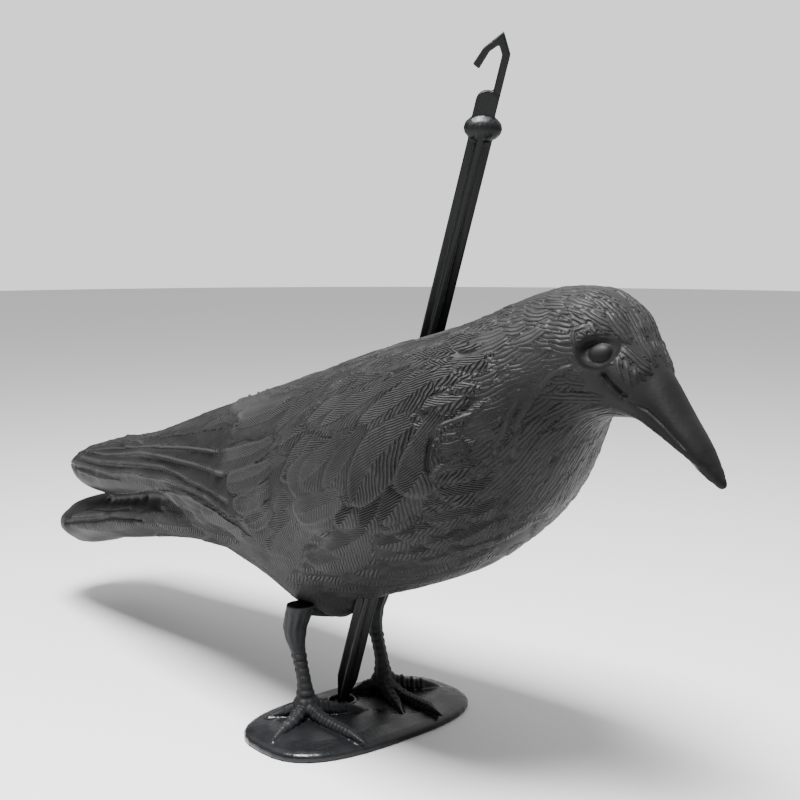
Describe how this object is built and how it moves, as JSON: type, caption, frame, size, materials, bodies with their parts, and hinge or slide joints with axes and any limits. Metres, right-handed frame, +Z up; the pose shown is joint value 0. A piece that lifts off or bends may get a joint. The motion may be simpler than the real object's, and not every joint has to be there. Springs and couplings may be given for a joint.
{
  "type": "crow decoy",
  "caption": "Life-size perching crow decoy in dark plastic: a hollow bird with moulded feathers on an oblong base, with a hooked rod through its back.",
  "frame": {"origin": "middle of the base plate's underside, which stands on the ground", "axes": "+X is the way the bird faces, +Y is the bird's left, +Z is up"},
  "size_m": [0.404, 0.1018, 0.2669],
  "materials": {
    "body_plastic": "blow-moulded polyethylene with a soft satin sheen and fine feather relief",
    "base_plastic": "injection-moulded, smooth and fairly glossy on the plate",
    "rod_plastic": "injection-moulded, smooth satin black"
  },
  "bodies": {
    "root": {"bird_body": "body_plastic", "legs_and_base": "base_plastic", "stake_rod": "rod_plastic"}
  },
  "joints": []
}
